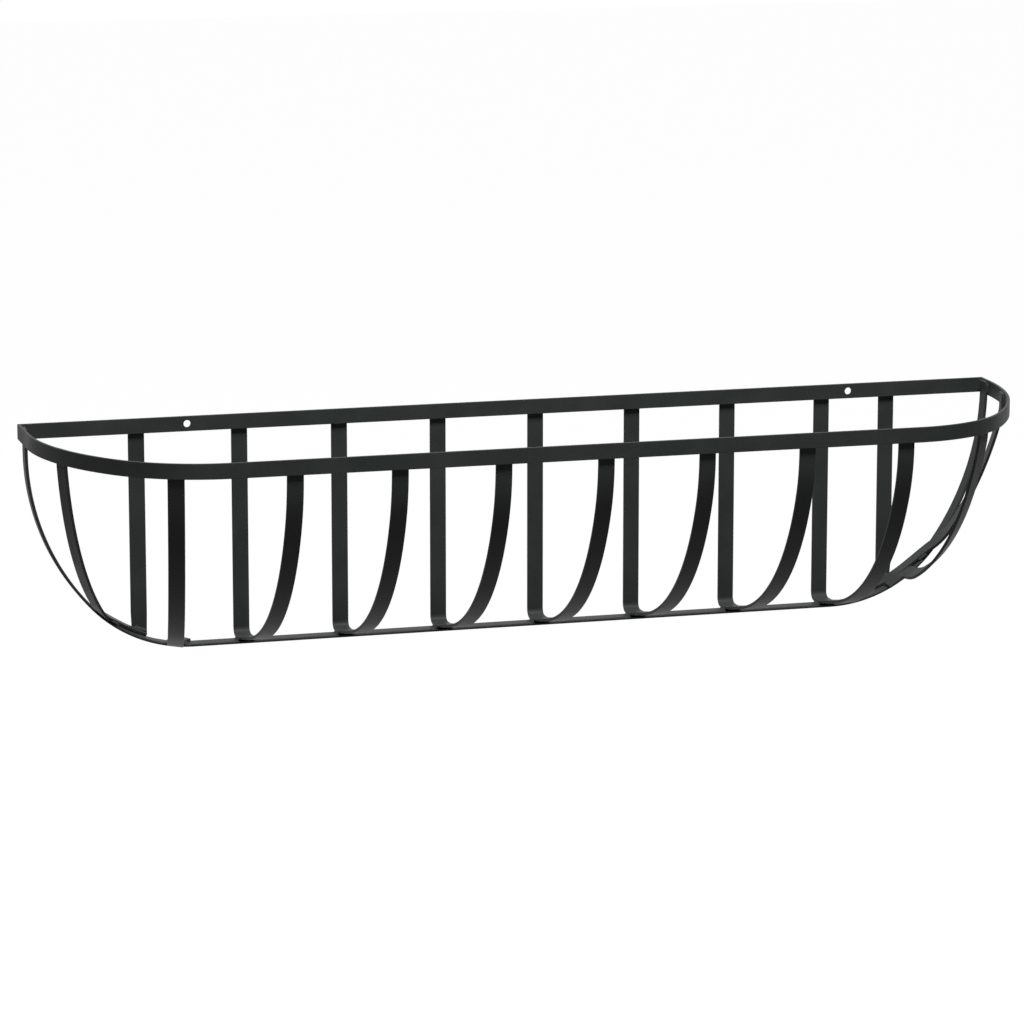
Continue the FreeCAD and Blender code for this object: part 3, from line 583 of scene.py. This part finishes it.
def last_rib_x(sizes, leg, side):
    """X of the last rib that lies flat on both hoop and keel at an end."""
    _, _, _, hoop_span, _ = end_curve("hoop", side, sizes.hoop_reach)
    _, _, _, keel_span, _ = end_curve("keel", side, sizes.keel_drop)
    return end_x(side) - side * max(hoop_span + sizes.rib_width / 2 + leg,
                                    keel_span + sizes.thickness)


def rib_places(sizes, leg):
    """X of each regular rib."""
    first = last_rib_x(sizes, leg, -1) + RIB_FIRST_PAST_BEND
    last = last_rib_x(sizes, leg, 1) - RIB_LAST_BEFORE_BEND
    return np.linspace(first, last, RIB_COUNT)


def rib_path(sizes):
    """A regular rib seen from the side, from its tip at the hoop to its top at the rail.

    The belly's radius and the slope's run are the two unknowns of the depth
    and the fall that breast, belly, slope and sole cover together.
    """
    half, rim = sizes.thickness / 2, sizes.rim_height / 2
    front = 3 * half - sizes.hoop_reach
    bottom = 3 * half - sizes.keel_drop
    top = rim - TOP_GAP
    heel = RIB_HEEL_RADIUS - half
    breast_radius = RIB_BREAST_RADIUS - half
    breast, sole = math.radians(90 - RIB_BELLY_ANGLE), math.radians(RIB_SOLE_ANGLE)
    depth = half - heel - RIB_FLAT_RUN - front - breast_radius * (1 - math.cos(breast))
    depth -= RIB_SOLE_RADIUS * math.sin(sole)
    fall = -rim - bottom - breast_radius * math.sin(breast)
    fall -= RIB_SOLE_RADIUS * (1 - math.cos(sole))
    covers = np.array([[math.cos(breast) - math.sin(sole), math.cos(sole)],
                       [math.cos(sole) - math.sin(breast), math.sin(sole)]])
    belly, slope = np.linalg.solve(covers, [depth, fall])
    moves = [run(top + rim), bend(breast_radius, breast), bend(belly, QUARTER - breast - sole),
             run(slope), bend(RIB_SOLE_RADIUS, sole), run(RIB_FLAT_RUN), bend(heel, QUARTER),
             run(top - bottom - heel)]
    return trace((front, top), -QUARTER, moves)


def rolled(points, headings, origin, toward, first_normal, last_normal):
    """Frames of a bar in an upright plane that rolls smoothly about its length.

    The roll goes from the one that faces the first normal to the one that
    faces the last, by 3 s^2 - 2 s^3 of the share s of the length run.
    """
    place, ahead, lift = bar_frames(points, headings, toward, -DOWN, origin)
    side = np.cross(ahead, lift)
    begin = math.atan2(first_normal @ side[0], first_normal @ lift[0])
    finish = math.atan2(last_normal @ side[-1], last_normal @ lift[-1])
    gone = np.concatenate([[0.0], np.cumsum(np.linalg.norm(np.diff(points, axis=0), axis=1))])
    share = gone / gone[-1]
    roll = (begin + (finish - begin) * share ** 2 * (3 - 2 * share))[:, None]
    return place, ahead, lift * np.cos(roll) + side * np.sin(roll)


def bend_reach(start, finish, radius):
    """Depth R (sin a - sin b) and fall R (cos b - cos a) of a bend from slope a to b."""
    return radius * np.array([math.sin(start) - math.sin(finish),
                              math.cos(finish) - math.cos(start)])


def end_rib_frames(sizes, kind, side):
    """Frames of an end rib: knuckle, long bend, sole and foot, rolled on the way.

    Take from its depth and fall the knuckle, half the foot and an arc of the
    sole's radius through all of the turn. What is left is the chord of an arc
    whose radius is the long bend's less the sole's: the chord's slope is the
    mean of the bend's two slopes, and its depth gives the radius.
    """
    hoop_angle, foot_in, lean = END_RIBS[kind, side]
    point, inward, radius = hoop_station(sizes, side, hoop_angle)
    foot, normal, slope = keel_seat(sizes, end_x(side) - side * foot_in)
    rim = sizes.rim_height / 2
    top = point + inward * (sizes.thickness + seat_gap(radius, sizes.rib_width))
    toward = np.array([foot[0] - top[0], foot[1] - top[1], 0.0])
    distance = np.linalg.norm(toward)
    toward /= distance
    end_slope = math.atan(-toward[0] * math.tan(slope))
    half_foot = FOOT_LENGTH / 2
    start = QUARTER - math.radians(lean)
    rest = np.array([distance - half_foot * math.cos(end_slope),
                     -rim - foot[2] - half_foot * math.sin(end_slope)])
    rest -= bend_reach(QUARTER, start, KNUCKLE_RADIUS)
    rest -= bend_reach(start, end_slope, END_SOLE_RADIUS)
    finish = 2 * math.atan2(rest[1], rest[0]) - start
    belly = END_SOLE_RADIUS + rest[0] / (math.sin(start) - math.sin(finish))
    moves = [run(sizes.rim_height - TOP_GAP), bend(KNUCKLE_RADIUS, QUARTER - start),
             bend(belly, start - finish), bend(END_SOLE_RADIUS, finish - end_slope)]
    points, headings = trace((0.0, rim - TOP_GAP), -QUARTER, moves)
    frames = rolled(points, headings, [top[0], top[1], 0.0], toward, inward, normal)
    return add_tail(frames, sizes, kind, side)


def add_tail(frames, sizes, kind, side):
    """The foot of an end rib, which runs over the keel and swings along it.

    Its line is the cubic (1 + 2s)(1 - s)^2 p0 + s (1 - s)^2 d0
    + s^2 (3 - 2s) p1 + s^2 (s - 1) d1 of the share s, from the sole's end p0
    to the tail's end p1, with directions d0 and d1 as long as these two are
    apart. Its face turns evenly from one normal to the other.
    """
    places, aheads, normals = frames
    tail_in, tail_depth, degrees = TAILS[kind, side]
    seat, end_normal, _ = keel_seat(sizes, end_x(side) - side * tail_in)
    end = np.array([seat[0], -tail_depth, seat[2]])
    swing = math.radians(degrees)
    level = np.array([-side * math.cos(swing), math.sin(swing), 0.0])
    last = level - end_normal * (level @ end_normal)
    last /= np.linalg.norm(last)
    far = np.linalg.norm(end - places[-1])
    share = np.linspace(0.0, 1.0, TAIL_STEPS + 1)[1:, None]
    line = ((1 + 2 * share) * (1 - share) ** 2 * places[-1]
            + share * (1 - share) ** 2 * far * aheads[-1]
            + share ** 2 * (3 - 2 * share) * end + share ** 2 * (share - 1) * far * last)
    ahead = (6 * share * (share - 1) * (places[-1] - end)
             + (1 - share) * (1 - 3 * share) * far * aheads[-1]
             + share * (3 * share - 2) * far * last)
    ahead /= np.linalg.norm(ahead, axis=1, keepdims=True)
    facing = normals[-1] + (end_normal - normals[-1]) * share
    facing -= ahead * np.sum(facing * ahead, axis=1, keepdims=True)
    facing /= np.linalg.norm(facing, axis=1, keepdims=True)
    return (np.vstack([places, line]), np.vstack([aheads, ahead]),
            np.vstack([normals, facing]))


def upright_frames(sizes, side):
    """Frames of an end upright: down from the rail on to the side rib's foot.

    Its lower end is cut along the slope of the keel there.
    """
    x = end_x(side) - side * UPRIGHT_FROM_END[side]
    half = sizes.thickness / 2
    foot, normal, _ = keel_seat(sizes, x)
    top = sizes.rim_height / 2 - TOP_GAP
    points, headings = trace((0.0, top), -QUARTER, [run(top - foot[2] + half)])
    places, aheads, normals = bar_frames(points, headings, FORWARD, -DOWN, [x, half, 0.0])
    aheads[-1] = -normal
    return places, aheads, -normals


def open_edges(x, neighbour_x, width, leg):
    """Edges of a foot at x where a neighbour's foot leaves room for a bead."""
    if abs(neighbour_x - x) - width > 2 * leg:
        return (-1, 1)
    return (-1,) if neighbour_x > x else (1,)


def gather(beads):
    """Joins beads into one surface."""
    points, faces, first = [], [], 0
    for bead_points, bead_faces in beads:
        points.append(bead_points)
        faces += [[first + index for index in face] for face in bead_faces]
        first += len(bead_points)
    return np.vstack(points), faces


# ---- Materials ----
def empty_tree(owner):
    """Node tree of a material or world, with no nodes in it."""
    owner.use_nodes = True
    owner.node_tree.nodes.clear()
    return owner.node_tree


def add_node(tree, kind, settings=None, sources=(), **links):
    """Adds a node, sets its properties and input values, and links its inputs.

    A settings key that names an input sets that socket, and any other sets a
    property. The sources go to the first inputs in order, and a link's key is
    the input's name with _ for a space.
    """
    node = tree.nodes.new(kind)
    for key, value in (settings or {}).items():
        if key in node.inputs:
            node.inputs[key].default_value = value
        else:
            setattr(node, key, value)
    for socket, source in zip(node.inputs, sources):
        tree.links.new(source, socket)
    for key, source in links.items():
        tree.links.new(source, node.inputs[key.replace("_", " ")])
    return node


def powder_coat(name, colour, roughness, peel_size, peel_height, lumps):
    """Satin black polyester powder coat, sprayed and baked on steel bar.

    It gives the eye a dark grey with weak, wide highlights, a fine orange
    peel, and a slow change of tone along the bar where the coat lies thicker.
    Lumps are the height of the rough weld metal under it.
    """
    material = bpy.data.materials.new(name)
    tree = empty_tree(material)
    place = add_node(tree, "ShaderNodeTexCoord").outputs["Object"]
    cloud = add_node(tree, "ShaderNodeTexNoise",
                     {"Scale": 1 / CLOUD_SIZE, "Detail": 3.0, "Roughness": 0.55}, Vector=place)
    tone = add_node(tree, "ShaderNodeMapRange",
                    {"From Min": 0.3, "From Max": 0.7,
                     "To Min": 1 - CLOUD_SWING, "To Max": 1 + CLOUD_SWING},
                    Value=cloud.outputs["Fac"])
    speck = add_node(tree, "ShaderNodeTexNoise", {"Scale": 1 / SPECK_SIZE, "Detail": 2.0},
                     Vector=place)
    fleck = add_node(tree, "ShaderNodeMapRange",
                     {"From Min": 0.35, "From Max": 0.65,
                      "To Min": 1 - SPECK_SWING, "To Max": 1 + SPECK_SWING},
                     Value=speck.outputs["Fac"])
    both = add_node(tree, "ShaderNodeMath", {"operation": "MULTIPLY"},
                    (tone.outputs["Result"], fleck.outputs["Result"]))
    shade = add_node(tree, "ShaderNodeVectorMath", {"operation": "SCALE"},
                     Scale=both.outputs[0])
    shade.inputs[0].default_value = colour
    satin = add_node(tree, "ShaderNodeMapRange",
                     {"From Min": 0.3, "From Max": 0.7,
                      "To Min": roughness - SATIN_SWING, "To Max": roughness + SATIN_SWING},
                     Value=cloud.outputs["Fac"])
    peel = add_node(tree, "ShaderNodeTexNoise",
                    {"Scale": 1 / peel_size, "Detail": 1.0, "Roughness": 0.4}, Vector=place)
    bump = add_node(tree, "ShaderNodeBump", {"Strength": 1.0, "Distance": peel_height},
                    Height=peel.outputs["Fac"])
    if lumps:
        lump = add_node(tree, "ShaderNodeTexNoise", {"Scale": 1 / LUMP_SIZE, "Detail": 3.0},
                        Vector=place)
        bump = add_node(tree, "ShaderNodeBump", {"Strength": 1.0, "Distance": lumps},
                        Height=lump.outputs["Fac"], Normal=bump.outputs["Normal"])
    shader = add_node(tree, "ShaderNodeBsdfPrincipled",
                      {"IOR": 1.5, "Metallic": 0.0, "Specular IOR Level": COAT_SPECULAR},
                      Base_Color=shade.outputs["Vector"], Roughness=satin.outputs["Result"],
                      Normal=bump.outputs["Normal"])
    add_node(tree, "ShaderNodeOutputMaterial", Surface=shader.outputs["BSDF"])
    return material


def coat_material(context, on_weld=False):
    """The bars' coat, or the same coat over the rougher weld metal, made once."""
    look = context.scene.coat_look
    name = "satin_black_powder_coat" + ("_on_weld" if on_weld else "")
    rougher, lumps = (WELD_ROUGHER, LUMP_HEIGHT) if on_weld else (0.0, 0.0)
    return bpy.data.materials.get(name) or powder_coat(
        name, look.colour, look.roughness + rougher, look.peel_size, look.peel_height, lumps)


def seen_rays(tree):
    """One for the rays that show the background: camera, glossy and transmission."""
    path = add_node(tree, "ShaderNodeLightPath")
    seen = path.outputs["Is Camera Ray"]
    for kind in ("Is Glossy Ray", "Is Transmission Ray"):
        seen = add_node(tree, "ShaderNodeMath", {"operation": "MAXIMUM"},
                        (seen, path.outputs[kind])).outputs[0]
    return seen


def floor_material(colour):
    """Plain pale floor, white to the camera, which still takes the object's shadow."""
    material = bpy.data.materials.new("pale_studio_floor")
    tree = empty_tree(material)
    seen = seen_rays(tree)
    matt = add_node(tree, "ShaderNodeBsdfDiffuse", {"Color": (*colour, 1.0)})
    white = add_node(tree, "ShaderNodeEmission", {"Color": (1.0, 1.0, 1.0, 1.0),
                                                  "Strength": FLOOR_GLOW})
    shadow = add_node(tree, "ShaderNodeBsdfDiffuse", {"Color": (*[FLOOR_SHADE] * 3, 1.0)})
    both = add_node(tree, "ShaderNodeAddShader", None, (white.outputs[0], shadow.outputs[0]))
    mix = add_node(tree, "ShaderNodeMixShader", None,
                   (seen, matt.outputs[0], both.outputs[0]))
    add_node(tree, "ShaderNodeOutputMaterial", Surface=mix.outputs[0])
    return material


# ---- Operators ----
class PLANTER_OT_back_rail(bpy.types.Operator):
    """Build the straight back rail with its two screw holes"""

    bl_idname = "planter.back_rail"
    bl_label = "Back rail"

    def execute(self, context):
        sizes = context.scene.planter_sizes
        half = sizes.rim_height / 2 - sizes.edge_radius
        holes = (-sizes.screw_spacing / 2, sizes.screw_spacing / 2)
        marks = [end_x(-1), holes[0] - half, holes[0] + half, holes[1] - half,
                 holes[1] + half, end_x(1)]
        steps = (RAIL_END_STEPS, FACE_STEPS, RAIL_MIDDLE_STEPS, FACE_STEPS, RAIL_END_STEPS)
        x = np.concatenate([np.linspace(begin, end, count, endpoint=False)
                            for begin, end, count in zip(marks, marks[1:], steps)]
                           + [marks[-1:]])
        places = x[:, None] * [1.0, 0.0, 0.0] + [0.0, -sizes.thickness / 2, 0.0]
        aheads = np.tile([1.0, 0.0, 0.0], (len(x), 1))
        frames = (places, aheads, np.tile(FORWARD, (len(x), 1)))
        surface = bar_surface(frames, sizes.rim_height, sizes.thickness, sizes.edge_radius)
        points, shade, faces = drilled(surface, holes, sizes.thickness, sizes.rim_height,
                                       sizes.edge_radius, sizes.screw_hole / 2)
        add_piece("back_rail_bar", "back_rail", coat_material(context), points,
                  faces, shade)
        return {"FINISHED"}


class PLANTER_OT_front_hoop(bpy.types.Operator):
    """Build the front hoop, bent to a D from one end of the rail to the other"""

    bl_idname = "planter.front_hoop"
    bl_label = "Front hoop"

    def execute(self, context):
        sizes = context.scene.planter_sizes
        half = sizes.thickness / 2
        path = bent_ends("hoop", sizes.hoop_reach, sizes.thickness, end_x(-1) + half,
                         end_x(1) - half, -sizes.thickness)
        frames = bar_frames(*path, (1, 0, 0), (0, 1, 0), (0, 0, 0))
        add_bar(context, "front_hoop_bar", "front_hoop", frames, sizes.rim_height)
        return {"FINISHED"}


class PLANTER_OT_keel_strap(bpy.types.Operator):
    """Build the keel, the flat bar under the basket that rises to the hoop's ends"""

    bl_idname = "planter.keel_strap"
    bl_label = "Keel strap"

    def execute(self, context):
        sizes = context.scene.planter_sizes
        inset = 1.5 * sizes.thickness
        path = bent_ends("keel", sizes.keel_drop, sizes.thickness, end_x(-1) + inset,
                         end_x(1) - inset, sizes.rim_height / 2 - TOP_GAP)
        frames = bar_frames(*path, (1, 0, 0), (0, 0, 1), (0, -sizes.keel_setback, 0))
        add_bar(context, "keel_strap_bar", "keel_strap", frames, sizes.rib_width,
                sizes.keel_edge)
        return {"FINISHED"}


class PLANTER_OT_ribs(bpy.types.Operator):
    """Build the seven regular ribs, each bent from rail to keel to hoop"""

    bl_idname = "planter.ribs"
    bl_label = "Ribs"

    def execute(self, context):
        sizes = context.scene.planter_sizes
        path = rib_path(sizes)
        places = rib_places(sizes, context.scene.bead_sizes.leg)
        for number, x in enumerate(places, start=1):
            frames = bar_frames(*path, (0, 1, 0), (0, 0, 1), (x, 0, 0))
            add_bar(context, "rib_%d_bar" % number, "rib_%d" % number, frames,
                    sizes.rib_width)
        return {"FINISHED"}


class PLANTER_OT_end_uprights(bpy.types.Operator):
    """Build the upright at each end, which stands on the foot of the side rib"""

    bl_idname = "planter.end_uprights"
    bl_label = "End uprights"

    def execute(self, context):
        sizes = context.scene.planter_sizes
        for side, hand in SIDES.items():
            node = "end_upright_" + hand
            add_bar(context, node + "_bar", node, upright_frames(sizes, side),
                    sizes.rib_width)
        return {"FINISHED"}


class PLANTER_OT_end_ribs(bpy.types.Operator):
    """Build the four end ribs, which roll as they come down from hoop to keel"""

    bl_idname = "planter.end_ribs"
    bl_label = "End ribs"

    def execute(self, context):
        sizes = context.scene.planter_sizes
        for kind, side in END_RIBS:
            node = "%s_rib_%s" % (kind, SIDES[side])
            add_bar(context, node + "_bar", node, end_rib_frames(sizes, kind, side),
                    sizes.rib_width)
        return {"FINISHED"}


class PLANTER_OT_weld_beads(bpy.types.Operator):
    """Build the weld beads, one group for each kind of joint"""

    bl_idname = "planter.weld_beads"
    bl_label = "Weld beads"

    def execute(self, context):
        sizes, look = context.scene.planter_sizes, context.scene.bead_sizes
        half, rim, width = sizes.thickness / 2, sizes.rim_height / 2, sizes.rib_width
        top = rim - TOP_GAP
        bottom = 3 * half - sizes.keel_drop
        inset = BEAD_INSET
        rim_run, foot_run = top + rim - 2 * inset, width * FOOT_BEAD_SHARE
        inward, outward = -FORWARD, FORWARD
        groups = {}

        def edges(group, place, ahead, normal, first, distance, sides=(-1, 1)):
            """Adds the beads along a bar's edges to a group."""
            found = edge_beads(np.array(place, float), ahead, normal, first, distance, sizes,
                               look, sides)
            groups.setdefault(group, []).extend(found)

        for side in SIDES:
            to_middle = np.array([-side, 0.0, 0.0])
            corner = np.array([end_x(side) - side * sizes.thickness, -sizes.thickness,
                               rim - inset])
            groups.setdefault("rim_corner_welds", []).append(
                bead_surface(corner, DOWN, 2 * (rim - inset), to_middle, outward, look))
            place = (end_x(side) - side * 3 * half, -sizes.keel_setback, top)
            edges("keel_end_welds", place, DOWN, to_middle, inset, rim_run)
        for x in rib_places(sizes, look.leg):
            edges("rib_hoop_welds", (x, 3 * half - sizes.hoop_reach, top), DOWN, inward,
                  inset, rim_run)
            edges("rib_keel_welds", (x, width / 2 - sizes.keel_setback, bottom), outward,
                  -DOWN, inset, width - 2 * inset)
            edges("rib_rail_welds", (x, half, top), DOWN, inward, inset, rim_run)
        for side in SIDES:
            places, aheads, _ = upright_frames(sizes, side)
            x = places[0][0]
            edges("rib_rail_welds", places[0], DOWN, inward, inset, rim_run)
            up = -aheads[-1]
            along = np.cross(outward, up)
            corner = places[-1] + up * sizes.thickness + outward * half
            corner -= along * (width / 2 - inset)
            groups.setdefault("end_foot_welds", []).append(
                bead_surface(corner, along, width - 2 * inset, up, outward, look))
            for kind in ("side", "corner"):
                places, aheads, normals = end_rib_frames(sizes, kind, side)
                foot_x = end_x(side) - side * END_RIBS[kind, side][1]
                edges("end_rib_hoop_welds", places[0], aheads[0], normals[0], inset, rim_run)
                over = np.argmin(np.abs(places[:, 1] + sizes.keel_setback))
                edges("end_foot_welds", places[over], aheads[over], normals[over],
                      -foot_run / 2, foot_run, open_edges(foot_x, x, width, look.leg))
        for node, beads in groups.items():
            points, faces = gather(beads)
            add_piece(node.replace("welds", "beads"), node,
                      coat_material(context, on_weld=True), points, faces)
        return {"FINISHED"}


class PLANTER_OT_stage(bpy.types.Operator):
    """Build the pale floor, the lamps, the sky and the camera"""

    bl_idname = "planter.stage"
    bl_label = "Stage"

    def execute(self, context):
        look = context.scene.stage_look
        corners = [(x * FLOOR_HALF, y * FLOOR_HALF, -look.floor_drop)
                   for x, y in ((-1, -1), (1, -1), (1, 1), (-1, 1))]
        mesh = bpy.data.meshes.new("floor")
        mesh.from_pydata(corners, [], [(0, 1, 2, 3)])
        mesh.materials.append(floor_material(look.floor_colour))
        floor = bpy.data.objects.new("floor", mesh)
        context.collection.objects.link(floor)
        for name, (extent, place) in LAMPS.items():
            self.add_lamp(context, name + "_lamp", getattr(look, name + "_power"), extent,
                          place)
        self.add_sky(context, look.sky)
        self.add_camera(context, look.lens)
        context.scene.view_settings.view_transform = "Standard"
        return {"FINISHED"}

    def add_lamp(self, context, name, power, extent, place):
        """A rectangular soft lamp that faces the basket."""
        data = bpy.data.lights.new(name, "AREA")
        data.shape = "RECTANGLE"
        data.size, data.size_y = extent
        data.energy = power
        lamp = bpy.data.objects.new(name, data)
        lamp.location = place
        lamp.rotation_euler = self.facing(place, LAMP_AIM)
        context.collection.objects.link(lamp)

    def facing(self, place, target):
        """Turn of an object whose -Z axis looks from place to target, with Y up."""
        x, y, z = np.array(target) - np.array(place)
        return math.atan2(math.hypot(x, y), -z), 0.0, math.atan2(y, x) - QUARTER

    def add_sky(self, context, strength):
        """Even light from all round, white to the camera."""
        world = bpy.data.worlds.new("studio_sky")
        tree = empty_tree(world)
        seen = seen_rays(tree)
        level = add_node(tree, "ShaderNodeMapRange", {"To Min": strength, "To Max": 1.0},
                         Value=seen)
        back = add_node(tree, "ShaderNodeBackground", {"Color": (1.0, 1.0, 1.0, 1.0)},
                        Strength=level.outputs["Result"])
        add_node(tree, "ShaderNodeOutputWorld", Surface=back.outputs[0])
        context.scene.world = world

    def add_camera(self, context, lens):
        """Camera in front, a little to the left and above, as in the photograph."""
        data = bpy.data.cameras.new("camera")
        data.sensor_width = CAMERA_SENSOR
        data.lens = lens
        camera = bpy.data.objects.new("camera", data)
        camera.location = CAMERA_PLACE
        camera.rotation_euler = CAMERA_TURN
        context.collection.objects.link(camera)
        context.scene.camera = camera


OPERATORS = (PLANTER_OT_back_rail, PLANTER_OT_front_hoop, PLANTER_OT_keel_strap,
             PLANTER_OT_ribs, PLANTER_OT_end_uprights, PLANTER_OT_end_ribs,
             PLANTER_OT_weld_beads, PLANTER_OT_stage)
SETTINGS = {"planter_sizes": PlanterSizes, "bead_sizes": BeadSizes, "coat_look": CoatLook,
            "stage_look": StageLook}


class PLANTER_PT_panel(bpy.types.Panel):
    """Lists the planter's settings and the buttons that build its pieces"""

    bl_idname = "PLANTER_PT_panel"
    bl_label = "Window box planter"
    bl_space_type = "VIEW_3D"
    bl_region_type = "UI"
    bl_category = "Planter"

    def draw(self, context):
        for name, group in SETTINGS.items():
            box = self.layout.box()
            for key in group.__annotations__:
                box.prop(getattr(context.scene, name), key)
        for operator in OPERATORS:
            self.layout.operator(operator.bl_idname)


def register():
    """Registers the settings, the operators and the panel."""
    for group in SETTINGS.values():
        bpy.utils.register_class(group)
    for operator in OPERATORS:
        bpy.utils.register_class(operator)
    bpy.utils.register_class(PLANTER_PT_panel)
    for name, group in SETTINGS.items():
        setattr(bpy.types.Scene, name, PointerProperty(type=group))


def unregister():
    """Takes all of it back out."""
    for name in SETTINGS:
        delattr(bpy.types.Scene, name)
    bpy.utils.unregister_class(PLANTER_PT_panel)
    for operator in reversed(OPERATORS):
        bpy.utils.unregister_class(operator)
    for group in reversed(SETTINGS.values()):
        bpy.utils.unregister_class(group)


def main():
    register()
    for operator in OPERATORS:
        family, name = operator.bl_idname.split(".")
        getattr(getattr(bpy.ops, family), name)()


if __name__ == "__main__":
    main()
